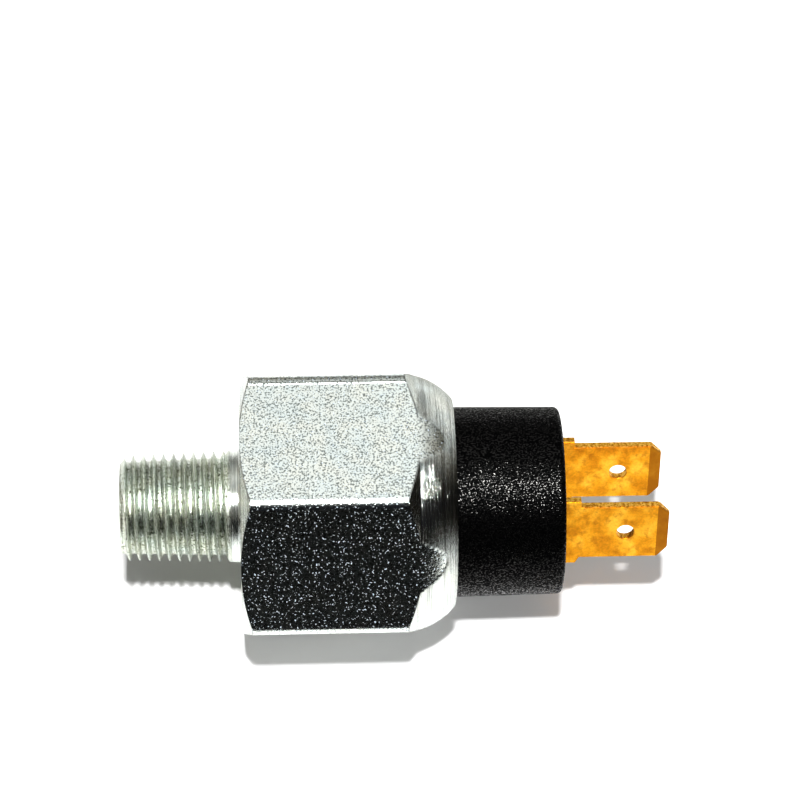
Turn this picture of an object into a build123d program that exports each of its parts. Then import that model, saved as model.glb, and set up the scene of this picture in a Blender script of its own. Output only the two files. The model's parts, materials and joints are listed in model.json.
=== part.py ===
from build123d import *
from math import atan, cos, degrees, hypot, radians, sqrt, tan
import os

# Hydraulic pressure switch of the brake-light kind. Fluid comes in through a tapered
# pipe-thread stem, lifts a rubber diaphragm, and the diaphragm pushes a spring-loaded
# plunger whose contact bridge closes the circuit between two tab terminals.
#
# Frame: millimetres. The X axis is the switch's own axis and the origin lies on it, in the
# plane of the hexagon's thread-side face. +X points to the terminals, and the switch lies
# on one flat of its hexagon, so +Z is up.

# Hexagon housing
HEX_APOTHEM = 12.0                  # 24 mm across flats
HEX_LENGTH = 15.2                   # along the corners, from the thread-side face
HEX_CORNER_ROUND = 1.6
HEX_CHAMFER_ANGLE = 30
TURNED_R = 12.24                    # the turned neck where the rolled lip begins
TURNED_X = 16.4
LIP_END_X = 20.0
LIP_END_R = 9.82
LIP_MID = (18.39, 11.26)            # a point halfway round the lip's outer curve
LIP_WALL = 1.0
LIP_EDGE_BREAK = 0.12
FLAT_BEND_X = 15.7                  # here the flats start to turn in with the lip
FLAT_MID = (17.9, 11.45)
FLAT_FADE = (19.1, 10.72)           # here they run out on it
FLAT_FADE_SLOPE = -0.74

# Stem and its port thread: 1/8-27 NPT, male, right-hand
THREAD_PITCH = 25.4 / 27
THREAD_TAPER = 1 / 32               # radius gained per unit of length
THREAD_PITCH_R = 9.233 / 2          # pitch radius at the stem's tip
THREAD_DEPTH = 0.70
THREAD_HALF_ANGLE = 30
THREAD_CREST_FLAT = 0.06
THREAD_EMBED = 0.15                 # the ridge's foot is sunk this far into the stem
STEM_TIP_X = -11.3
THREAD_RUNOUT_X = -1.35
THREAD_RUNOUT_LENGTH = 0.4
STEM_CHAMFER_X = 0.65
STEM_CHAMFER_R = 0.78

# Passages inside the housing
PORT_R = 1.6
PORT_MOUTH_R = 2.1
PORT_MOUTH_DEPTH = 0.5
CAVITY_R = 11.0
CAVITY_FLOOR_X = 5.0
BEAD_INNER_R = 8.0
BEAD_OUTER_R = 9.0
BEAD_DEPTH = 0.4

# Stack clamped between the cavity's floor and the rolled lip
GAP = 0.02                          # general clearance between neighbouring pieces
STACK_R = CAVITY_R - 0.05
DIAPHRAGM_THICK = 1.0
RING_X = CAVITY_FLOOR_X + DIAPHRAGM_THICK
RING_LENGTH = 3.5
RING_BORE_R = 4.75
RING_FLARE_R = 6.25                 # the bore's mouth, where the diaphragm's wall bends
RING_GUIDE_R = 6.06                 # guides the plunger's flange
GASKET_THICK = 0.5
GASKET_INNER_R = 9.1

# Plunger and what rides on it
DISC_X = 7.0                        # the diaphragm's flat centre
DISC_R = 4.1
WALL_FOOT_R = 5.6                   # the foot of its conical wall
WALL_SPREAD = 0.5                   # how much wider the wall is outside than inside
PLATE_R = 4.3
PLATE_THICK = 0.5
PLUNGER_STEP_X = 8.6                # the plunger's flange rests here with no pressure
FLANGE_R = 6.0
FLANGE_THICK = 1.0
PLUNGER_BODY_R = 3.0
SPIGOT_R = 1.9
SPIGOT_END_X = 12.9
BRIDGE_X = 10.6
BRIDGE_LENGTH = 15.0
BRIDGE_WIDTH = 5.0
BRIDGE_THICK = 0.8
RETAINER_THICK = 0.3
RETAINER_R = 3.0
CONTACT_OFFSET = 6.2                # from the axis to each pair of contacts
CONTACT_R = 1.2
CONTACT_SHANK_R = 0.7
CONTACT_RIM = 0.10
CONTACT_CROWN = 0.15
CONTACT_TAIL_R = 1.0
CONTACT_TAIL = 0.2
CONTACT_GAP = 0.70

# Return spring
SPRING_R = 2.5
SPRING_WIRE = 0.6
SPRING_TURNS = 5
SHIM_THICK = 0.3
SHIM_INNER_R = 1.2
SHIM_R = 2.95

# Moulded terminal base
BASE_NECK_R = 8.98
BASE_END_R = 8.83
BASE_END_X = 30.08
BASE_EDGE_ROUND = 0.5
CHAMBER_R = 9.0
CHAMBER_X = 13.6
POCKET_R = 3.1
POCKET_X = 18.0

# Tab terminals, 6.3 x 0.8 mm
TAB_THICK = 0.8
TAB_WIDTH = 6.3
TAB_TIP_X = 40.0
TAB_OFFSET = 4.216                  # from the axis to each tab's mid-plane
TAB_ROLL = 72.53                    # turn of the tabs about the switch's axis
TAB_CORNER = 0.95
TAB_BEVEL_LENGTH = 1.1
TAB_BEVEL_DEPTH = 0.2
TAB_HOLE_R = 0.825
TAB_HOLE_X = TAB_TIP_X - 4.05
SHOULDER_WIDTH = 7.7
SHOULDER_X = 28.6
SHOULDER_END_X = 31.7
SHOULDER_BEVEL = 0.35               # on the lower shoulder only; the upper one is square
TANG_WIDTH = 3.6
TANG_X = 14.8
STAKE_HEIGHT = 0.3
STAKE_SPREAD = 0.25

# Contact plates that the tangs are staked into
CONTACT_PLATE_THICK = 0.8
CONTACT_PLATE_INNER = 3.2
CONTACT_PLATE_OUTER = 8.2
CONTACT_PLATE_WIDTH = 6.0

# Worked out from the above
SPRING_X = BRIDGE_X + BRIDGE_THICK + RETAINER_THICK
SPRING_END_X = POCKET_X - SHIM_THICK
GASKET_X = RING_X + RING_LENGTH
SKIRT_X = GASKET_X + GASKET_THICK
BRIDGE_END_X = BRIDGE_X + BRIDGE_THICK
CONTACT_PLATE_X = CHAMBER_X - CONTACT_PLATE_THICK
FIXED_FACE_X = BRIDGE_END_X + CONTACT_RIM + CONTACT_CROWN + CONTACT_GAP
FIXED_RIM = CONTACT_PLATE_X - FIXED_FACE_X - CONTACT_CROWN
SIDES = {"front": 1, "rear": -1}    # the two tabs, nearer to and further from -Y


def arc_centre(start, middle, end):
    """Centre and radius of the circle through three points of the (x, r) plane."""
    (ax, ay), (bx, by), (cx, cy) = start, middle, end
    d = 2 * (ax * (by - cy) + bx * (cy - ay) + cx * (ay - by))
    a2, b2, c2 = ax**2 + ay**2, bx**2 + by**2, cx**2 + cy**2
    x = (a2 * (by - cy) + b2 * (cy - ay) + c2 * (ay - by)) / d
    y = (a2 * (cx - bx) + b2 * (ax - cx) + c2 * (bx - ax)) / d
    return x, y, hypot(ax - x, ay - y)


LIP_X0, LIP_R0, LIP_OUTER = arc_centre((TURNED_X, TURNED_R), LIP_MID, (LIP_END_X, LIP_END_R))


def lip_point(radius, depth):
    """Point at a distance from the switch's axis, on the lip's curve taken in by depth."""
    return LIP_X0 + sqrt((LIP_OUTER - depth) ** 2 - (radius - LIP_R0) ** 2), radius


def lip_arc(start_r, end_r, depth):
    """The lip's curve taken in by depth, between two distances from the switch's axis."""
    middle = lip_point((start_r + end_r) / 2, depth)
    return ThreePointArc(lip_point(start_r, depth), middle, lip_point(end_r, depth))


def turned(*lines):
    """Solid of revolution about the switch's axis, from a closed outline in (x, r)."""
    return revolve(make_face(Curve() + list(lines)), Axis.X, 360)


def turned_points(*points):
    """The same from a list of (x, r) corners."""
    return turned(Polyline(*points, close=True))


def ring(x0, x1, inner, outer):
    return turned_points((x0, inner), (x0, outer), (x1, outer), (x1, inner))


def disc(x0, x1, radius):
    return ring(x0, x1, 0, radius)


def crest_r(x):
    return THREAD_PITCH_R + THREAD_DEPTH / 2 + (x - STEM_TIP_X) * THREAD_TAPER


def thread_rail(shift, drop):
    """One edge of the thread's ridge: a tapered helix shift along and drop below the crest."""
    start = STEM_TIP_X - THREAD_PITCH + shift
    length = THREAD_RUNOUT_X - STEM_TIP_X + THREAD_PITCH
    taper = degrees(atan(THREAD_TAPER))
    rail = Edge.make_helix(THREAD_PITCH, length, crest_r(start) - drop, angle=taper)
    return Pos(start, 0, 0) * (Rot(Y=90) * rail)


def thread_ridge():
    """The thread's ridge as one solid, its foot sunk into the stem."""
    crest = THREAD_CREST_FLAT / 2
    foot = crest + THREAD_DEPTH * tan(radians(THREAD_HALF_ANGLE))
    sunk = THREAD_DEPTH + THREAD_EMBED
    half = [(-foot, sunk), (-foot, THREAD_DEPTH), (-crest, 0)]
    corners = half + [(-shift, drop) for shift, drop in reversed(half)]
    rails = [thread_rail(shift, drop) for shift, drop in corners]
    faces = [Face.make_surface_from_curves(a, b) for a, b in zip(rails, rails[1:] + rails[:1])]
    for end in (0, 1):
        faces.append(Face(Wire.make_polygon([rail @ end for rail in rails], close=True)))
    return Solid(Shell(faces))


def stem():
    """Threaded stem with a plain collar against the hexagon."""
    root_tip = crest_r(STEM_TIP_X) - THREAD_DEPTH
    runout_start = THREAD_RUNOUT_X - THREAD_RUNOUT_LENGTH / 2
    runout_end = THREAD_RUNOUT_X + THREAD_RUNOUT_LENGTH / 2
    core = turned_points(
        (STEM_TIP_X, 0),
        (STEM_TIP_X, root_tip),
        (runout_start, crest_r(runout_start) - THREAD_DEPTH),
        (runout_end, crest_r(runout_end)),
        (GAP, crest_r(0)),
        (GAP, 0),
    )
    tip_r = crest_r(STEM_TIP_X) - STEM_CHAMFER_R
    limit = turned_points(
        (STEM_TIP_X, 0),
        (STEM_TIP_X, tip_r),
        (STEM_TIP_X + STEM_CHAMFER_X, tip_r + STEM_CHAMFER_R),
        (STEM_TIP_X + 2 * STEM_CHAMFER_X, tip_r + 2 * STEM_CHAMFER_R),
        (GAP, tip_r + 2 * STEM_CHAMFER_R),
        (GAP, 0),
    )
    return (core + thread_ridge()) & limit


def flat_pair():
    """Slab between two opposite flats, which bend in with the lip and run out on it."""
    beyond = LIP_END_X + 1
    beyond_z = FLAT_FADE[1] + FLAT_FADE_SLOPE * (beyond - FLAT_FADE[0])
    bend = Spline(
        (FLAT_BEND_X, HEX_APOTHEM), FLAT_MID, FLAT_FADE,
        tangents=((1, 0), (1, FLAT_FADE_SLOPE)),
    )
    top = Curve() + [
        Line((-1, HEX_APOTHEM), (FLAT_BEND_X, HEX_APOTHEM)),
        bend,
        Line(FLAT_FADE, (beyond, beyond_z)),
    ]
    bottom = mirror(top, about=Plane.XZ)
    ends = [Line((-1, -HEX_APOTHEM), (-1, HEX_APOTHEM)), Line((beyond, -beyond_z), (beyond, beyond_z))]
    outline = make_face(Curve() + [top, bottom] + ends)
    return Rot(X=90) * extrude(outline, 2 * HEX_APOTHEM, both=True)


def hexagon():
    """Hexagon with its chamfer, turned neck and rolled lip, before it is bored."""
    corner_r = HEX_APOTHEM / cos(radians(30))
    chamfer_x = (corner_r - HEX_APOTHEM) * tan(radians(HEX_CHAMFER_ANGLE))
    edge = lip_point(LIP_END_R + LIP_EDGE_BREAK, 0)
    blank = turned(
        Polyline((LIP_END_X, 0), (0, 0), (0, HEX_APOTHEM), (chamfer_x, corner_r), (HEX_LENGTH, corner_r)),
        Line((HEX_LENGTH, corner_r), (TURNED_X, TURNED_R)),
        ThreePointArc((TURNED_X, TURNED_R), LIP_MID, edge),
        Polyline(edge, (LIP_END_X, LIP_END_R), (LIP_END_X, 0)),
    )
    hexagon_outline = RegularPolygon(HEX_APOTHEM, 6, major_radius=False)
    section = fillet(hexagon_outline.vertices(), HEX_CORNER_ROUND)
    solid = blank & (Pos(-1, 0, 0) * extrude(Plane.YZ * section, LIP_END_X + 2))
    for turn in (0, 60, 120):
        solid = solid & (Rot(X=turn) * flat_pair())
    return solid


def hex_body():
    """Housing: stem, hexagon and rolled lip in one piece of steel, bored for its inside."""
    neck_bore = BASE_NECK_R + 0.05
    cavity = turned(
        Polyline((CAVITY_FLOOR_X, 0), (CAVITY_FLOOR_X, CAVITY_R), lip_point(CAVITY_R, LIP_WALL)),
        lip_arc(CAVITY_R, neck_bore, LIP_WALL),
        Polyline(
            lip_point(neck_bore, LIP_WALL), (LIP_END_X + 1, neck_bore), (LIP_END_X + 1, 0), (CAVITY_FLOOR_X, 0)
        ),
    )
    groove = ring(CAVITY_FLOOR_X - BEAD_DEPTH, CAVITY_FLOOR_X + GAP, BEAD_INNER_R, BEAD_OUTER_R)
    port = disc(STEM_TIP_X - 1, CAVITY_FLOOR_X + 1, PORT_R)
    mouth = turned_points(
        (STEM_TIP_X - GAP, 0), (STEM_TIP_X - GAP, PORT_MOUTH_R), (STEM_TIP_X + PORT_MOUTH_DEPTH, PORT_R),
        (STEM_TIP_X + PORT_MOUTH_DEPTH, 0),
    )
    return hexagon() + stem() - cavity - groove - port - mouth


def diaphragm():
    """Rubber hat: a flat rim with a sealing bead, a conical wall and a flat centre."""
    floor, top = CAVITY_FLOOR_X, DISC_X + DIAPHRAGM_THICK
    hat = turned_points(
        (floor, STACK_R), (RING_X, STACK_R), (RING_X, WALL_FOOT_R + WALL_SPREAD),
        (top, DISC_R + WALL_SPREAD), (top, 0), (DISC_X, 0), (DISC_X, DISC_R), (floor, WALL_FOOT_R),
    )
    bead = ring(floor - BEAD_DEPTH + GAP, floor + GAP, BEAD_INNER_R + GAP, BEAD_OUTER_R - GAP)
    return hat + bead


def support_ring():
    """Ring that clamps the diaphragm's rim, guides the plunger and stops its return."""
    end = RING_X + RING_LENGTH
    return turned_points(
        (RING_X, RING_FLARE_R), (RING_X, STACK_R), (end, STACK_R), (end, RING_GUIDE_R),
        (PLUNGER_STEP_X, RING_GUIDE_R), (PLUNGER_STEP_X, RING_BORE_R),
        (DISC_X + DIAPHRAGM_THICK, RING_BORE_R),
    )


def plunger():
    """Moulded plunger: a guided flange, a body for the bridge and a spigot for the spring."""
    nose = DISC_X + DIAPHRAGM_THICK + PLATE_THICK
    flange = PLUNGER_STEP_X + GAP
    return turned_points(
        (nose, 0), (nose, PLATE_R), (flange, PLATE_R), (flange, FLANGE_R),
        (flange + FLANGE_THICK, FLANGE_R), (flange + FLANGE_THICK, PLUNGER_BODY_R),
        (BRIDGE_X, PLUNGER_BODY_R), (BRIDGE_X, SPIGOT_R), (SPIGOT_END_X, SPIGOT_R), (SPIGOT_END_X, 0),
    )


def across(x, offset):
    """Place on the line through both tabs' middles, at x and offset from the axis."""
    return Rot(X=TAB_ROLL) * Pos(x, 0, offset)


def contact_bridge():
    """Spring-brass bar that joins the two fixed contacts when the plunger is pushed."""
    bar = Box(BRIDGE_THICK, BRIDGE_WIDTH, BRIDGE_LENGTH)
    bar = fillet(bar.edges().filter_by(Axis.X), BRIDGE_WIDTH / 4)
    bar = across(BRIDGE_X + BRIDGE_THICK / 2, 0) * bar
    bar -= disc(BRIDGE_X - 1, BRIDGE_END_X + 1, SPIGOT_R + GAP)
    for side in SIDES.values():
        hole = disc(-1, 1, CONTACT_SHANK_R + GAP)
        bar -= across(BRIDGE_X, side * CONTACT_OFFSET) * hole
    return bar


def contact(rim, grip):
    """Domed contact button facing +X, its seat at x = 0 and its shank reaching back by grip."""
    top = rim + CONTACT_CROWN
    sphere_r = (CONTACT_R**2 + CONTACT_CROWN**2) / (2 * CONTACT_CROWN)
    halfway = (top - sphere_r + sqrt(sphere_r**2 - CONTACT_R**2 / 4), CONTACT_R / 2)
    return turned(
        Polyline((top, 0), (-grip, 0), (-grip, CONTACT_SHANK_R), (0, CONTACT_SHANK_R), (0, CONTACT_R)),
        Line((0, CONTACT_R), (rim, CONTACT_R)),
        ThreePointArc((rim, CONTACT_R), halfway, (top, 0)),
    )


def moving_contact(side):
    """Contact riveted through the bridge, with its upset tail on the far side."""
    button = contact(CONTACT_RIM, BRIDGE_THICK + CONTACT_TAIL / 2)
    tail = disc(-BRIDGE_THICK - CONTACT_TAIL, -BRIDGE_THICK, CONTACT_TAIL_R)
    return across(BRIDGE_END_X, side * CONTACT_OFFSET) * (button + tail)


def fixed_contact(side):
    """Contact pressed through its plate, facing the bridge."""
    button = contact(FIXED_RIM, CONTACT_PLATE_THICK - GAP)
    return across(CONTACT_PLATE_X, side * CONTACT_OFFSET) * (Rot(Y=180) * button)


def contact_plate(side):
    """Brass plate on the chamber's ceiling, slotted for the tab's tang."""
    span = CONTACT_PLATE_OUTER - CONTACT_PLATE_INNER
    middle = side * (CONTACT_PLATE_OUTER + CONTACT_PLATE_INNER) / 2
    x = CONTACT_PLATE_X + CONTACT_PLATE_THICK / 2
    plate = across(x, middle) * Box(CONTACT_PLATE_THICK, CONTACT_PLATE_WIDTH, span)
    slot = Box(2 * CONTACT_PLATE_THICK, TANG_WIDTH + GAP, TAB_THICK + GAP)
    hole = disc(-1, 1, CONTACT_SHANK_R + GAP)
    return plate - across(x, side * TAB_OFFSET) * slot - across(x, side * CONTACT_OFFSET) * hole


def tab_outline():
    """Outline of one tab in its own plane: x along it, y across it."""
    tang, tab, shoulder = TANG_WIDTH / 2, TAB_WIDTH / 2, SHOULDER_WIDTH / 2
    upper = [
        (TAB_TIP_X, tab - TAB_CORNER), (TAB_TIP_X - TAB_CORNER, tab), (SHOULDER_END_X, tab),
        (SHOULDER_END_X, shoulder), (SHOULDER_X, shoulder), (SHOULDER_X, tab), (TANG_X, tab),
        (TANG_X, tang), (CONTACT_PLATE_X, tang),
    ]
    lower = [(x, -y) for x, y in reversed(upper)]
    bevelled = lower.index((SHOULDER_END_X, -shoulder))
    lower[bevelled] = (SHOULDER_END_X - SHOULDER_BEVEL, -shoulder)
    return make_face(Polyline(*upper, *lower, close=True))


def tab_terminal(side):
    """Stamped brass tab with a wire hole, a tapered tip and a tang staked over its plate."""
    half, tip_half = TAB_THICK / 2, TAB_THICK / 2 - TAB_BEVEL_DEPTH
    taper_x = TAB_TIP_X - TAB_BEVEL_LENGTH
    edge_on = make_face(Polyline(
        (CONTACT_PLATE_X, half), (taper_x, half), (TAB_TIP_X, tip_half),
        (TAB_TIP_X, -tip_half), (taper_x, -half), (CONTACT_PLATE_X, -half), close=True,
    ))
    blade = extrude(tab_outline(), TAB_THICK, both=True)
    blade = blade & (Rot(X=90) * extrude(edge_on, SHOULDER_WIDTH, both=True))
    blade -= Pos(TAB_HOLE_X, 0, 0) * Cylinder(TAB_HOLE_R, 2 * TAB_THICK)
    stake = Box(STAKE_HEIGHT, TANG_WIDTH + 2 * STAKE_SPREAD, TAB_THICK + 2 * STAKE_SPREAD)
    blade += Pos(CONTACT_PLATE_X - STAKE_HEIGHT / 2, 0, 0) * stake
    return across(0, side * TAB_OFFSET) * blade


def tab_slot(side):
    """Room for one tab in the moulded base."""
    outline = offset(tab_outline(), GAP / 2, kind=Kind.INTERSECTION)
    return across(0, side * TAB_OFFSET) * extrude(outline, (TAB_THICK + GAP) / 2, both=True)


def terminal_base():
    """Black moulding: the contact chamber, the spring's pocket and the neck around the tabs."""
    depth = LIP_WALL + GAP
    neck_start = lip_point(BASE_NECK_R, depth)
    edge_x, edge_r = BASE_END_X - BASE_EDGE_ROUND, BASE_END_R - BASE_EDGE_ROUND
    diagonal = BASE_EDGE_ROUND * cos(radians(45))
    base = turned(
        Polyline(
            (BASE_END_X, edge_r), (BASE_END_X, 0), (POCKET_X, 0), (POCKET_X, POCKET_R),
            (CHAMBER_X, POCKET_R), (CHAMBER_X, CHAMBER_R), (SKIRT_X, CHAMBER_R), (SKIRT_X, STACK_R),
            lip_point(STACK_R, depth),
        ),
        lip_arc(STACK_R, BASE_NECK_R, depth),
        Line(neck_start, (edge_x, BASE_END_R)),
        ThreePointArc(
            (edge_x, BASE_END_R), (edge_x + diagonal, edge_r + diagonal), (BASE_END_X, edge_r)
        ),
    )
    for side in SIDES.values():
        base -= tab_slot(side)
    return base


def return_spring():
    """Compression spring between the bridge's retainer and the pocket's shim."""
    length = SPRING_END_X - SPRING_X - SPRING_WIRE - 2 * GAP
    path = Edge.make_helix(length / SPRING_TURNS, length, SPRING_R)
    section = Plane(origin=path @ 0, z_dir=path % 0) * Circle(SPRING_WIRE / 2)
    coil = sweep(section, path)
    return Pos(SPRING_X + SPRING_WIRE / 2 + GAP, 0, 0) * (Rot(Y=90) * coil)


nodes = {
    "hex_body": hex_body(),
    "diaphragm": diaphragm(),
    "diaphragm_plate": disc(DISC_X + DIAPHRAGM_THICK, DISC_X + DIAPHRAGM_THICK + PLATE_THICK, PLATE_R),
    "support_ring": support_ring(),
    "base_gasket": ring(GASKET_X, SKIRT_X, GASKET_INNER_R, STACK_R),
    "plunger": plunger(),
    "contact_bridge": contact_bridge(),
    "bridge_retainer": ring(BRIDGE_END_X, SPRING_X, SPIGOT_R + GAP, RETAINER_R),
    "return_spring": return_spring(),
    "spring_shim": ring(SPRING_END_X, POCKET_X, SHIM_INNER_R, SHIM_R),
    "terminal_base": terminal_base(),
}
for name, side in SIDES.items():
    nodes["moving_contact_" + name] = moving_contact(side)
    nodes["fixed_contact_" + name] = fixed_contact(side)
    nodes["contact_plate_" + name] = contact_plate(side)
    nodes["terminal_" + name] = tab_terminal(side)

os.makedirs("parts", exist_ok=True)
for name, solid in nodes.items():
    export_step(solid, "parts/" + name + ".step")
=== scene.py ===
import json
from math import atan, cos, pi, radians, sin, sqrt, tan

import bmesh
import bpy
import numpy as np
from mathutils import Matrix, Vector


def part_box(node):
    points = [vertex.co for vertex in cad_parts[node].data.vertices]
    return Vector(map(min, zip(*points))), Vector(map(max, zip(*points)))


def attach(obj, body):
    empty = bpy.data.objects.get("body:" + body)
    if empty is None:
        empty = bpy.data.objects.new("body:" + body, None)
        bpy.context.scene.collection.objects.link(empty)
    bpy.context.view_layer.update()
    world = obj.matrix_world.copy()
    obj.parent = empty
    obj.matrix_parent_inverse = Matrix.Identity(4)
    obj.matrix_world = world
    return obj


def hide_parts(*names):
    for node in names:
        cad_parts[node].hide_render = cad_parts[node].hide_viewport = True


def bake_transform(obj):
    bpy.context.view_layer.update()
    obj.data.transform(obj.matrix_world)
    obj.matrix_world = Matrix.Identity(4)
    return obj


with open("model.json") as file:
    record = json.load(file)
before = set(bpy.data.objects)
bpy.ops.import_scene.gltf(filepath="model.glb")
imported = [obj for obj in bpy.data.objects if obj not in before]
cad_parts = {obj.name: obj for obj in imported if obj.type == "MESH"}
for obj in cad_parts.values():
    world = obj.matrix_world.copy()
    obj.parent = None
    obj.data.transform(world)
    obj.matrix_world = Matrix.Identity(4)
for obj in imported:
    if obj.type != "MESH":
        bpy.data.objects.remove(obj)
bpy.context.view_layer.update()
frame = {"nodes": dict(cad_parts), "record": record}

MM = 0.001

# The switch's axis is X. Lengths below are in millimetres unless their name ends in _M, and
# the stage, the lights and the camera are placed in metres.
STEM_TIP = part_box("hex_body")[0].x / MM
LIP_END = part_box("hex_body")[1].x / MM
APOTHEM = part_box("hex_body")[1].z / MM
TAB_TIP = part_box("terminal_front")[1].x / MM
TABLE_Z_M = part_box("hex_body")[0].z

# Housing, as in its CAD source
CORNER_ROUND = 1.6
CORNER_R = APOTHEM / cos(radians(30))
HEX_LENGTH = 15.2
TURNED = (16.4, 12.24)
LIP_MID = (18.39, 11.26)
LIP_END_R = 9.82
LIP_WALL = 1.0
NECK_BORE_R = 9.03
CAVITY_R = 11.0
CAVITY_FLOOR = 5.0
PORT_R = 1.6
PORT_MOUTH_R = 2.1
PORT_MOUTH_DEPTH = 0.5
FLAT_BEND = 15.7
FLAT_FADE = (19.1, 10.72)
FLAT_BEND_POWER = 1.9

# A raised line along the top flat, only here and not in the CAD: how far it is from the
# flat's middle, how high and how wide to each side
LINE_OFFSET = 5.985
LINE_HEIGHT = 0.06
LINE_WIDTH = 0.14

# Tabs: their upper edge points along TAB_ACROSS, and TAB_OUTWARD is square to their faces
TAB_SHOULDER = 31.75
TAB_ACROSS = (0, 0.3002064, 0.9538743)
TAB_OUTWARD = (0, -0.9538743, 0.3002064)
TAB_EDGE_ROUND = 0.06
BURR = 0.03
BURR_STEP = 0.23

# Thread: 1/8-27 NPT, right-hand. Its flanks are steeper here than the CAD's 30 degrees, so
# that the crests stand narrow over wide roots.
PITCH = 25.4 / 27
TAPER = 1 / 32
THREAD_DEPTH = 0.70
CREST_FLAT = 0.06
FLANK_LEAN = 22
CREST_TIP_R = 9.233 / 2 + THREAD_DEPTH / 2
RUNOUT = -1.35
RUNOUT_LENGTH = 0.4
STEM_CHAMFER = (0.65, 0.78)

# Mesh of the housing: points around it, crowded to the hexagon's corners, and rows along it
BODY_SEGMENTS = 396
CORNER_CROWDING = 0.65
THREAD_ROWS = 126
CHAMFER_ROWS = 24
CONE_ROWS = 18
LIP_ROWS = 38
CREASE = 0.03

MERGE_M = 0.002 * MM


def circle_through(a, b, c):
    """Centre and radius of the circle through three points of a plane."""
    d = 2 * (a[0] * (b[1] - c[1]) + b[0] * (c[1] - a[1]) + c[0] * (a[1] - b[1]))
    sa, sb, sc = (p[0] ** 2 + p[1] ** 2 for p in (a, b, c))
    x = (sa * (b[1] - c[1]) + sb * (c[1] - a[1]) + sc * (a[1] - b[1])) / d
    y = (sa * (c[0] - b[0]) + sb * (a[0] - c[0]) + sc * (b[0] - a[0])) / d
    return x, y, sqrt((a[0] - x) ** 2 + (a[1] - y) ** 2)


LIP_X0, LIP_R0, LIP_OUTER = circle_through(TURNED, LIP_MID, (LIP_END, LIP_END_R))


# ---------------------------------------------------------------- the housing's mesh


def lip_curve(start_r, end_r, depth, count):
    """Points (x, r) evenly spaced round the lip's curve taken in by depth."""
    arc = LIP_OUTER - depth
    first, last = (np.arcsin((r - LIP_R0) / arc) for r in (start_r, end_r))
    angle = np.linspace(first, last, count)
    return np.column_stack([LIP_X0 + arc * np.cos(angle), LIP_R0 + arc * np.sin(angle)])


def crest_r(x):
    return CREST_TIP_R + (x - STEM_TIP) * TAPER


def line(start, end, count):
    return np.linspace(start, end, count, endpoint=False)


def body_outline():
    """Closed outline (x, r) of the housing's wall, and what each stretch of it is:
    0 turned or bored, 1 hexagon, 2 thread."""
    collar = crest_r(0)
    chamfer = (CORNER_R - APOTHEM) * tan(radians(30))
    stem = [(x, crest_r(x)) for x in np.linspace(STEM_TIP, RUNOUT + RUNOUT_LENGTH, THREAD_ROWS)]
    tip = crest_r(STEM_TIP) - STEM_CHAMFER[1]
    stretches = [
        (2, np.array(stem)),
        (0, line((RUNOUT + 1.2 * RUNOUT_LENGTH, crest_r(-1)), (-0.06, collar), 3)),
        (0, line((0, collar + 0.06), (0, APOTHEM - 0.3), 4)),
        (1, line((0, APOTHEM - 0.1), (0, APOTHEM), 2)),
        (1, line((0, APOTHEM), (chamfer, CORNER_R), CHAMFER_ROWS)),
        (1, line((chamfer, CORNER_R), (FLAT_BEND - 0.6, CORNER_R), 5)),
        (1, line((HEX_LENGTH, CORNER_R), TURNED, CONE_ROWS)),
        (1, lip_curve(TURNED[1], LIP_END_R + 0.08, 0, LIP_ROWS)),
        (0, line((LIP_END, LIP_END_R - 0.02), (LIP_END, NECK_BORE_R + 0.06), 4)),
        (0, lip_curve(NECK_BORE_R, CAVITY_R, LIP_WALL, 10)),
        (0, line((TURNED[0] - 1, CAVITY_R), (CAVITY_FLOOR + 0.02, CAVITY_R), 3)),
        (0, line((CAVITY_FLOOR, CAVITY_R - 0.02), (CAVITY_FLOOR, PORT_R + 0.02), 3)),
        (0, line((CAVITY_FLOOR - 0.02, PORT_R), (STEM_TIP + PORT_MOUTH_DEPTH, PORT_R), 4)),
        (0, line((STEM_TIP + PORT_MOUTH_DEPTH, PORT_R), (STEM_TIP, PORT_MOUTH_R), 3)),
        (0, line((STEM_TIP, PORT_MOUTH_R + 0.03), (STEM_TIP, tip - 0.05), 3)),
    ]
    kind = np.concatenate([np.full(len(points), k) for k, points in stretches])
    return np.concatenate([points for _, points in stretches]), kind


def soft_min(a, b, width):
    """The lesser of the two, with the corner between them rounded over width."""
    return (a + b - np.sqrt((a - b) ** 2 + width**2)) / 2


def drawn_line(angle):
    """1 on the crest of the line along the top flat, 0 beside it."""
    side = APOTHEM * np.tan(angle % (pi / 3) - pi / 6)
    on_top = np.abs(angle - pi / 2) < pi / 6
    return np.clip(1 - np.abs(side + LINE_OFFSET) / LINE_WIDTH, 0, 1) * on_top


def hexagon_r(angle, x):
    """Distance from the axis to the hexagon's rounded outline, whose flats bend in with the lip."""
    off = np.abs(angle % (pi / 3) - pi / 6)
    bend = np.clip((x - FLAT_BEND) / (FLAT_FADE[0] - FLAT_BEND), 0, None)
    depth = APOTHEM - FLAT_FADE[1]
    flat = (APOTHEM - depth * bend**FLAT_BEND_POWER) / np.cos(off)
    flat = flat + LINE_HEIGHT * drawn_line(angle)
    corner = pi / 6 - off
    centre = (APOTHEM - CORNER_ROUND) / cos(pi / 6)
    inside = np.clip(CORNER_ROUND**2 - (centre * np.sin(corner)) ** 2, 0, None)
    rounded = centre * np.cos(corner) + np.sqrt(inside)
    last_flat = atan(tan(pi / 6) * (APOTHEM - CORNER_ROUND) / APOTHEM)
    return np.where(off > last_flat, np.minimum(rounded, flat), flat)


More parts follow.
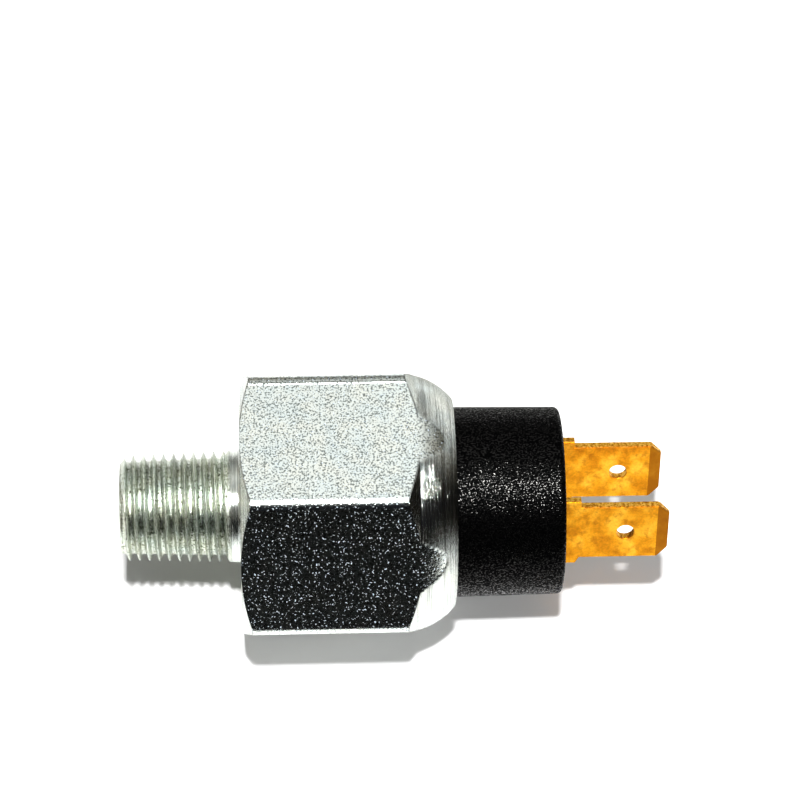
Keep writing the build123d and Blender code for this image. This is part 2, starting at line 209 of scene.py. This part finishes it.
def thread_r(angle, x):
    """Distance from the axis to the thread, with its tip chamfer and its run-out."""
    turn = (x - STEM_TIP + PITCH) / PITCH - (angle + pi / 2) / (2 * pi)
    from_crest = np.abs((turn + 0.5) % 1 - 0.5) * PITCH
    flank = (from_crest - CREST_FLAT / 2) / tan(radians(FLANK_LEAN))
    crest = crest_r(x)
    ridge = crest - np.clip(flank, 0, THREAD_DEPTH)
    ridge = -soft_min(-ridge, -(crest - THREAD_DEPTH + 0.02), 0.05)
    share = np.clip((x - RUNOUT + RUNOUT_LENGTH / 2) / RUNOUT_LENGTH, 0, 1)
    ridge = np.maximum(ridge, crest - THREAD_DEPTH * (1 - share))
    tip = crest_r(STEM_TIP) - STEM_CHAMFER[1] + (x - STEM_TIP) * STEM_CHAMFER[1] / STEM_CHAMFER[0]
    return soft_min(soft_min(ridge, crest - 0.01, CREASE), tip, 0.05)


def make_body():
    """The housing as one closed mesh of quads, with what its material needs at each point."""
    outline, kind = body_outline()
    rows, segments = len(outline), BODY_SEGMENTS
    step = np.arange(segments) * 2 * pi / segments
    angle = step - CORNER_CROWDING / 6 * np.sin(6 * step)
    x = np.repeat(outline[:, 0], segments)
    turned = np.repeat(outline[:, 1], segments)
    kinds = np.repeat(kind, segments)
    around = np.tile(angle, rows)
    hexagon = hexagon_r(around, x)
    radius = np.where(kinds == 1, soft_min(turned, hexagon, CREASE), turned)
    radius = np.where(kinds == 2, thread_r(around, x), radius)
    points = np.column_stack([x, radius * np.cos(around), radius * np.sin(around)])
    index = np.arange(rows * segments).reshape(rows, segments)
    across = np.roll(index, -1, axis=1)
    quads = np.stack([index, across, np.roll(across, -1, axis=0), np.roll(index, -1, axis=0)], axis=-1)
    mesh = bpy.data.meshes.new("housing_shell")
    mesh.from_pydata((points * MM).tolist(), [], quads.reshape(-1, 4).tolist())
    mesh.validate()
    steps = np.linalg.norm(np.diff(outline, axis=0, prepend=outline[:1]), axis=1)
    grained = np.clip((turned - hexagon) / CREASE, 0, 1) * (kinds == 1) * (x > 0.01)
    # Painted shade: a dark line along the crease where the hexagon's flats meet the turned faces, fainter
    # on the lip.
    crease_shade = np.exp(-(((turned - hexagon) / 0.10) ** 2)) * (kinds == 1) * (x > 0.05)
    crease_shade = crease_shade * np.where(x > TURNED[0], 0.2, 1)
    for name, values in (
        ("along", np.repeat(np.cumsum(steps), segments)),
        ("grained", grained),
        ("crease_shade", crease_shade),
        ("root", np.clip((crest_r(x) - radius) / THREAD_DEPTH, 0, 1) * (kinds == 2)),
    ):
        mesh.attributes.new(name, "FLOAT", "POINT").data.foreach_set("value", values.astype(np.float32))
    piece = bpy.data.objects.new("housing_shell", mesh)
    bpy.context.scene.collection.objects.link(piece)
    on_line = (drawn_line(around) > 0.5) & (grained > 0.5)
    mesh.polygons.foreach_set("use_smooth", ~on_line[quads.reshape(-1, 4)].any(axis=1))
    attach(piece, "housing")
    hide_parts("hex_body")
    return piece


# ---------------------------------------------------------------- material helpers


def new_material(name):
    material = bpy.data.materials.new(name)
    material.use_nodes = True
    material.node_tree.nodes.clear()
    return material, material.node_tree


def put(tree, kind, inputs=None, **settings):
    """A node with its settings, and its inputs given as values or as other nodes' sockets."""
    node = tree.nodes.new(kind)
    for key, value in settings.items():
        setattr(node, key, value)
    for key, value in (inputs or {}).items():
        if isinstance(value, bpy.types.NodeSocket):
            tree.links.new(value, node.inputs[key])
        else:
            node.inputs[key].default_value = value
    return node


def calc(tree, operation, a, b):
    return put(tree, "ShaderNodeMath", {0: a, 1: b}, operation=operation).outputs[0]


def times(tree, a, b):
    return calc(tree, "MULTIPLY", a, b)


def place(tree, stretch=(1, 1, 1)):
    """Object coordinates in millimetres, stretched."""
    coords = put(tree, "ShaderNodeTexCoord").outputs["Object"]
    scale = tuple(s / MM for s in stretch)
    return put(tree, "ShaderNodeMapping", {"Vector": coords, "Scale": scale}).outputs[0]


def noise(tree, vector, scale, detail=2.0, rough=0.5, distortion=0.0):
    inputs = {
        "Vector": vector, "Scale": scale, "Detail": detail,
        "Roughness": rough, "Distortion": distortion,
    }
    return put(tree, "ShaderNodeTexNoise", inputs).outputs["Fac"]


def ramp(tree, value, stops):
    """A colour or grey by position; each stop is (position, grey or (r, g, b))."""
    node = put(tree, "ShaderNodeValToRGB", {"Fac": value})
    elements = node.color_ramp.elements
    while len(elements) < len(stops):
        elements.new(0.5)
    for element, (position, colour) in zip(elements, stops):
        element.position = position
        element.color = (*(colour if isinstance(colour, tuple) else (colour,) * 3), 1)
    return node.outputs["Color"]


def mix(tree, share, a, b, blend="MIX"):
    a, b = ((*side, 1) if isinstance(side, tuple) else side for side in (a, b))
    inputs = {"Factor": share, 6: a, 7: b}
    return put(tree, "ShaderNodeMix", inputs, data_type="RGBA", blend_type=blend).outputs[2]


def attribute(tree, name):
    return put(tree, "ShaderNodeAttribute", attribute_name=name).outputs["Fac"]


def bump(tree, height, strength, distance):
    inputs = {"Height": height, "Strength": strength, "Distance": distance * MM}
    return put(tree, "ShaderNodeBump", inputs).outputs[0]


def finish_material(tree, inputs):
    shader = put(tree, "ShaderNodeBsdfPrincipled", inputs)
    output = put(tree, "ShaderNodeOutputMaterial")
    tree.links.new(shader.outputs[0], output.inputs["Surface"])


# ---------------------------------------------------------------- materials


def speckle(tree, spot, scale, low, high, detail=1.0):
    """Scattered specks, 0 to 1; they fill more of the surface as low and high go down."""
    return ramp(tree, noise(tree, spot, scale, detail), [(low, 0.0), (high, 1.0)])


def zinc_material():
    """Zinc-plated steel: crystalline grain on the flats, turning lines on the lip and faces,
    bright thread."""
    material, tree = new_material("zinc_plated_steel")
    spot = place(tree)
    grained = attribute(tree, "grained")
    root = attribute(tree, "root")
    along = attribute(tree, "along")
    plain = calc(tree, "SUBTRACT", 1.0, grained)
    crystals = times(tree, speckle(tree, spot, 6.0, 0.635, 0.77), grained)
    aside = put(tree, "ShaderNodeVectorMath", {0: spot, 1: (31.0, 17.0, 5.0)}, operation="ADD").outputs[0]
    pits = times(tree, speckle(tree, aside, 5.6, 0.50, 0.62, 2.0), grained)
    sweep = put(tree, "ShaderNodeSeparateXYZ", {0: place(tree, (0, 0.06, 0.06))})
    lathe_at = {0: times(tree, along, 4.0), 1: sweep.outputs[1], 2: sweep.outputs[2]}
    lathe = noise(tree, put(tree, "ShaderNodeCombineXYZ", lathe_at).outputs[0], 1.0, 5, 0.75)
    fine = noise(tree, spot, 7.0, 2)
    film = noise(tree, spot, 0.5, 2)
    tint = ramp(tree, film, [
        (0.35, (0.83, 0.86, 0.79)),
        (0.5, (0.80, 0.85, 0.80)),
        (0.65, (0.77, 0.84, 0.81)),
    ])
    colour = mix(tree, times(tree, pits, 0.85), tint, (0.12, 0.14, 0.13))
    streaks = ramp(tree, lathe, [(0.38, 0.50), (0.56, 1.0)])
    streaked = mix(tree, plain, colour, mix(tree, 1.0, colour, streaks, "MULTIPLY"))
    # Painted shade: the colour goes near black along the crease between the flats and the turned faces.
    crease_shade = times(tree, attribute(tree, "crease_shade"), 0.75)
    streaked = mix(tree, crease_shade, streaked, (0.06, 0.06, 0.05))
    colour = mix(tree, crystals, streaked, (0.55, 0.65, 0.78))
    metal = calc(tree, "SUBTRACT", 1.0, times(tree, crystals, 0.9))
    flanks = ramp(tree, root, [(0.0, 0.0), (0.10, 1.0), (0.60, 1.0), (0.80, 0.0)])
    metal = calc(tree, "SUBTRACT", metal, times(tree, flanks, 0.26))
    threaded = ramp(tree, root, [(0.0, 0.0), (0.04, 1.0)])
    glints = noise(tree, spot, 5.0, 3, 0.7)
    mottle = ramp(tree, glints, [
        (0.38, (0.06, 0.06, 0.03)),
        (0.46, (0.86, 0.88, 0.76)),
        (0.60, (1.0, 1.0, 1.0)),
    ])
    colour = mix(tree, threaded, colour, mix(tree, 1.0, colour, mottle, "MULTIPLY"))
    rough = calc(tree, "ADD", 0.15, times(tree, crystals, 0.3))
    rough = calc(tree, "ADD", rough, times(tree, threaded, 0.08))
    heights = [
        times(tree, crystals, 0.006),
        times(tree, pits, -0.004),
        times(tree, times(tree, lathe, plain), 0.090),
        times(tree, times(tree, glints, threaded), 0.055),
        times(tree, fine, 0.0015),
    ]
    height = heights[0]
    for other in heights[1:]:
        height = calc(tree, "ADD", height, other)
    normal = bump(tree, height, 1.0, 1.0)
    finish_material(tree, {"Base Color": colour, "Metallic": metal, "Roughness": rough, "Normal": normal})
    return material


def phenolic_material():
    """Black phenolic moulding: dull resin with bright flecks of filler."""
    material, tree = new_material("black_phenolic")
    spot = place(tree)
    flecks = speckle(tree, place(tree, (0.8, 1, 1)), 7.0, 0.53, 0.60)
    grain = noise(tree, spot, 5.0, 2, 0.5)
    colour = mix(tree, flecks, (0.0003, 0.0003, 0.0004), (0.028, 0.0275, 0.0262))
    rough = ramp(tree, flecks, [(0.0, 0.50), (1.0, 0.18)])
    normal = bump(tree, grain, 1.0, 0.060)
    finish_material(tree, {
        "Base Color": colour, "Metallic": flecks, "Roughness": rough,
        "Specular IOR Level": 0.02, "Normal": normal,
    })
    return material


def brass_material():
    """Stamped tab brass, golden, with cloudy tarnish and brown stains, dull brown cut edges, and painted
    shade on the tip bevel.
    """
    material, tree = new_material("tab_brass")
    spot = place(tree)
    clouds = noise(tree, spot, 0.55, 2, 0.45, 0.3)
    stains = ramp(tree, noise(tree, place(tree, (1.3, 1, 1)), 1.1, 4, 0.55), [(0.50, 0.0), (0.68, 1.0)])
    grain = noise(tree, spot, 4.5, 3, 0.6)
    colour = ramp(tree, clouds, [
        (0.32, (0.66, 0.27, 0.013)),
        (0.48, (0.80, 0.36, 0.02)),
        (0.66, (0.93, 0.49, 0.05)),
    ])
    colour = mix(tree, times(tree, stains, 0.65), colour, (0.46, 0.17, 0.012))
    colour = mix(tree, 1.0, colour, ramp(tree, grain, [(0.35, 0.80), (0.60, 1.0)]), "MULTIPLY")
    edge = attribute(tree, "edge")
    glitter = ramp(tree, noise(tree, spot, 4.0, 3, 0.7), [
        (0.38, (0.40, 0.16, 0.015)),
        (0.48, (0.80, 0.42, 0.05)),
        (0.62, (1.0, 0.66, 0.16)),
    ])
    colour = mix(tree, edge, colour, glitter)
    # Painted shade: the tip bevel's faces get a dark brown brass colour.
    tip = attribute(tree, "tip_bevel_shade")
    colour = mix(tree, times(tree, tip, 0.85), colour, (0.28, 0.10, 0.004))
    rough = calc(tree, "ADD", ramp(tree, clouds, [(0.3, 0.42), (0.7, 0.30)]), times(tree, edge, 0.12))
    normal = bump(tree, grain, 1.0, 0.012)
    finish_material(tree, {"Base Color": colour, "Metallic": 1.0, "Roughness": rough, "Normal": normal})
    return material


def plain_material(name, colour, metallic, rough):
    """Turned, drawn or moulded inner pieces: one colour with a fine grain and uneven gloss."""
    material, tree = new_material(name)
    spot = place(tree)
    shade = noise(tree, spot, 0.6, 3)
    dark = tuple(c * 0.82 for c in colour)
    tint = ramp(tree, shade, [(0.3, dark), (0.7, colour)])
    gloss = ramp(tree, noise(tree, spot, 1.5, 3), [(0.3, rough - 0.06), (0.7, rough + 0.06)])
    normal = bump(tree, noise(tree, spot, 8.0, 2), 0.15, 0.05)
    finish_material(tree, {"Base Color": tint, "Metallic": metallic, "Roughness": gloss, "Normal": normal})
    return material


# ---------------------------------------------------------------- stage, lights, camera


def flat_stage(name, corners, colour, rough):
    """A plain four-cornered surface that isn't part of the switch."""
    mesh = bpy.data.meshes.new(name)
    mesh.from_pydata(corners, [], [(0, 1, 2, 3)])
    surface = bpy.data.objects.new(name, mesh)
    bpy.context.scene.collection.objects.link(surface)
    material, tree = new_material(name)
    finish_material(tree, {"Base Color": colour, "Roughness": rough})
    mesh.materials.append(material)
    return surface


def make_floor():
    half = 0.32
    corners = [(x, y, TABLE_Z_M) for x, y in ((-half, -half), (half, -half), (half, half), (-half, half))]
    flat_stage("floor", corners, (0.88, 0.88, 0.88, 1), 0.6)


def upright(start, end, top):
    """Corners of a card that stands on the table from start to end."""
    return [(*start, TABLE_Z_M), (*end, TABLE_Z_M), (*end, top), (*start, top)]


def lying(x_range, y_range):
    """Corners of a card that lies just clear of the table."""
    (x0, x1), (y0, y1) = x_range, y_range
    z = TABLE_Z_M + 0.0003
    return [(x0, y0, z), (x1, y0, z), (x1, y1, z), (x0, y1, z)]


def make_card(name, corners, colour):
    """A card that only reflections show."""
    card = flat_stage(name, corners, colour, 0.9)
    card.visible_camera = False
    card.visible_diffuse = False
    card.visible_shadow = False


def soften_terminal(node, name):
    """The tab with softened edges, an uneven burr along its upper ones, and its cut faces marked."""
    rng = np.random.default_rng(7)
    mesh = frame["nodes"][node].data.copy()
    mesh.name = name
    work = bmesh.new()
    work.from_mesh(mesh)
    bmesh.ops.remove_doubles(work, verts=work.verts, dist=MERGE_M)
    bmesh.ops.dissolve_limit(work, angle_limit=radians(1), verts=work.verts, edges=work.edges)
    sharp = [e for e in work.edges if len(e.link_faces) == 2 and e.calc_face_angle() > radians(25)]
    rounding = {"offset": TAB_EDGE_ROUND * MM, "segments": 2, "affect": "EDGES", "clamp_overlap": True}
    bmesh.ops.bevel(work, geom=sharp, **rounding)
    bmesh.ops.remove_doubles(work, verts=work.verts, dist=MERGE_M / 2)
    bmesh.ops.dissolve_degenerate(work, edges=work.edges, dist=MERGE_M / 2)
    for x in np.arange(TAB_SHOULDER + BURR_STEP, TAB_TIP - 0.2, BURR_STEP):
        geometry = list(work.verts) + list(work.edges) + list(work.faces)
        cut = {"plane_co": (x * MM, 0, 0), "plane_no": (1, 0, 0)}
        bmesh.ops.bisect_plane(work, geom=geometry, dist=MERGE_M, **cut)
    across, outward = Vector(TAB_ACROSS), Vector(TAB_OUTWARD)
    highest = max(v.co.dot(across) for v in work.verts if v.co.x > TAB_SHOULDER * MM)
    for v in work.verts:
        if v.co.x > (TAB_SHOULDER + 0.1) * MM and v.co.dot(across) > highest - 0.1 * MM:
            v.co += across * rng.uniform(-BURR, 0) * MM + outward * rng.uniform(-BURR, BURR) * MM
    work.to_mesh(mesh)
    facing = np.array([abs(f.normal.dot(outward)) for f in work.faces])
    work.free()
    # The tip bevel's faces are marked for their painted shade.
    for mark, faces in (("edge", facing < 0.9), ("tip_bevel_shade", (facing > 0.95) & (facing < 0.995))):
        mesh.attributes.new(mark, "FLOAT", "FACE").data.foreach_set("value", faces.astype(np.float32))
    piece = bpy.data.objects.new(name, mesh)
    bpy.context.scene.collection.objects.link(piece)
    mesh.shade_flat()
    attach(piece, "housing")
    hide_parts(node)
    return piece


def copy_soft(node, name):
    """A copy of a CAD node in its place, with its doubled points merged and its materials cleared."""
    mesh = frame["nodes"][node].data.copy()
    mesh.name = name
    work = bmesh.new()
    work.from_mesh(mesh)
    bmesh.ops.remove_doubles(work, verts=work.verts, dist=MERGE_M)
    work.to_mesh(mesh)
    work.free()
    mesh.materials.clear()
    piece = bpy.data.objects.new(name, mesh)
    bpy.context.scene.collection.objects.link(piece)
    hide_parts(node)
    return piece


def area_light(name, elevation, azimuth, distance, size, power):
    """Square soft light aimed at the origin; elevation is taken from the front horizon over
    the top, and azimuth towards +X."""
    up, turn = radians(elevation), radians(azimuth)
    direction = Vector((sin(turn) * cos(up), -cos(turn) * cos(up), sin(up)))
    data = bpy.data.lights.new(name, "AREA")
    data.shape = "SQUARE"
    data.size = size
    data.energy = power
    light = bpy.data.objects.new(name, data)
    light.location = direction * distance
    light.rotation_mode = "QUATERNION"
    light.rotation_quaternion = direction.to_track_quat("Z", "Y")
    bpy.context.scene.collection.objects.link(light)
    return light


def make_world():
    """Bright window high behind the switch, dimmer back wall and sides, dark room in front."""
    world = bpy.data.worlds.new("room")
    world.use_nodes = True
    tree = world.node_tree
    tree.nodes.clear()
    direction = put(tree, "ShaderNodeTexCoord").outputs["Generated"]
    parts = put(tree, "ShaderNodeSeparateXYZ", {0: direction}).outputs
    front = times(tree, parts[1], -1.0)
    over_top = calc(tree, "DIVIDE", calc(tree, "ARCTAN2", parts[2], front), pi)
    rightward = calc(tree, "MAXIMUM", parts[0], 0.0)
    over_top = calc(tree, "SUBTRACT", over_top, times(tree, rightward, 0.15))
    arch = ramp(tree, over_top, [
        (0.30, (0.010, 0.011, 0.016)),
        (0.40, (0.05, 0.05, 0.06)),
        (0.50, (0.55, 0.57, 0.60)),
        (0.66, (1.0, 1.0, 1.0)),
        (0.80, (0.50, 0.50, 0.50)),
        (0.92, (0.26, 0.25, 0.23)),
    ])
    right = ramp(tree, parts[0], [(0.40, (1, 1, 1)), (0.80, (0.20, 0.18, 0.15))])
    left = ramp(tree, times(tree, parts[0], -1.0), [(0.40, 0.0), (0.65, 1.0)])
    colour = mix(tree, left, mix(tree, 1.0, arch, right, "MULTIPLY"), (0.60, 0.57, 0.52))
    rays = put(tree, "ShaderNodeLightPath").outputs
    dimmed = {"Value": rays["Is Diffuse Ray"], "To Min": 1.0, "To Max": 0.26}
    strength = put(tree, "ShaderNodeMapRange", dimmed).outputs[0]
    background = put(tree, "ShaderNodeBackground", {"Color": colour, "Strength": strength})
    seen = put(tree, "ShaderNodeBackground", {"Color": (1, 1, 1, 1), "Strength": 1.0})
    sides = {0: rays["Is Camera Ray"], 1: background.outputs[0], 2: seen.outputs[0]}
    both = put(tree, "ShaderNodeMixShader", sides)
    output = put(tree, "ShaderNodeOutputWorld")
    tree.links.new(both.outputs[0], output.inputs["Surface"])
    bpy.context.scene.world = world


def make_camera():
    """Looks down at the switch from the front at about 60 degrees, turned a little, from 0.34 m."""
    distance, elevation, yaw, roll = 0.3397, radians(59.8), radians(-3.97), radians(2.38)
    look = Vector((0.015, 0, 0))
    lens, rise = 161.8, radians(1.64)
    back = Vector((sin(yaw) * cos(elevation), -cos(yaw) * cos(elevation), sin(elevation)))
    right = Vector((cos(yaw), sin(yaw), 0))
    up = back.cross(right)
    rolled_right = cos(roll) * right + sin(roll) * up
    rolled_up = -sin(roll) * right + cos(roll) * up
    aimed_back = cos(rise) * back - sin(rise) * rolled_up
    aimed_up = cos(rise) * rolled_up + sin(rise) * back
    data = bpy.data.cameras.new("camera")
    data.lens = lens
    data.sensor_width = 36
    data.clip_start, data.clip_end = 0.01, 20
    camera = bpy.data.objects.new("camera", data)
    axes = Matrix((rolled_right, aimed_up, aimed_back)).transposed()
    camera.matrix_world = Matrix.Translation(look + distance * back) @ axes.to_4x4()
    bpy.context.scene.collection.objects.link(camera)
    bpy.context.scene.camera = camera


make_camera()
make_floor()
make_card("grey_card", lying((0.0165, 0.045), (0.008, 0.06)), (0.38, 0.38, 0.36, 1))
make_card("black_card", upright((-0.3, -0.052), (0.3, -0.052), 0.03), (0.004, 0.004, 0.005, 1))
make_card("near_card", upright((-0.001, -0.030), (0.019, -0.030), 0.02), (0.004, 0.004, 0.005, 1))
make_card("right_card", upright((0.075, -0.05), (0.075, 0.02), 0.02), (0.02, 0.015, 0.01, 1))
make_card("brown_card", upright((-0.06, -0.05), (-0.06, 0.09), 0.0), (0.12, 0.09, 0.06, 1))
make_world()
area_light("key", 75.5, 0, 0.6, 0.035, 4.8)
area_light("fill", 20, 60, 0.5, 0.3, 1.8).visible_glossy = False
bpy.context.scene.view_settings.view_transform = "Standard"
bpy.context.scene.view_settings.look = "Medium High Contrast"

housing = make_body()
housing.data.materials.append(zinc_material())

slot_materials = {
    "black_moulding": phenolic_material(),
    "tab_brass": brass_material(),
    "contact_brass": plain_material("contact_brass", (0.83, 0.58, 0.22), 1.0, 0.35),
    "contact_silver": plain_material("contact_silver", (0.90, 0.89, 0.86), 1.0, 0.3),
    "rubber": plain_material("rubber", (0.03, 0.03, 0.03), 0.0, 0.7),
    "spring_steel": plain_material("spring_steel", (0.42, 0.42, 0.43), 1.0, 0.35),
    "plain_steel": plain_material("plain_steel", (0.6, 0.6, 0.6), 1.0, 0.35),
    "nylon": plain_material("nylon", (0.80, 0.77, 0.68), 0.0, 0.45),
    "gasket_fibre": plain_material("gasket_fibre", (0.40, 0.19, 0.11), 0.0, 0.8),
}
for part in frame["record"]["subparts"]:
    if part["material_slot"] in slot_materials:
        mesh = frame["nodes"][part["node"]].data
        mesh.materials.clear()
        mesh.materials.append(slot_materials[part["material_slot"]])

for side in ("front", "rear"):
    soften_terminal("terminal_" + side, "tab_" + side).data.materials.append(slot_materials["tab_brass"])

rubber_hat = copy_soft("diaphragm", "rubber_hat")
rubber_hat.data.materials.append(slot_materials["rubber"])
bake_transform(rubber_hat)

coil = copy_soft("return_spring", "spring_coil")
coil.data.materials.append(slot_materials["spring_steel"])
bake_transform(coil)
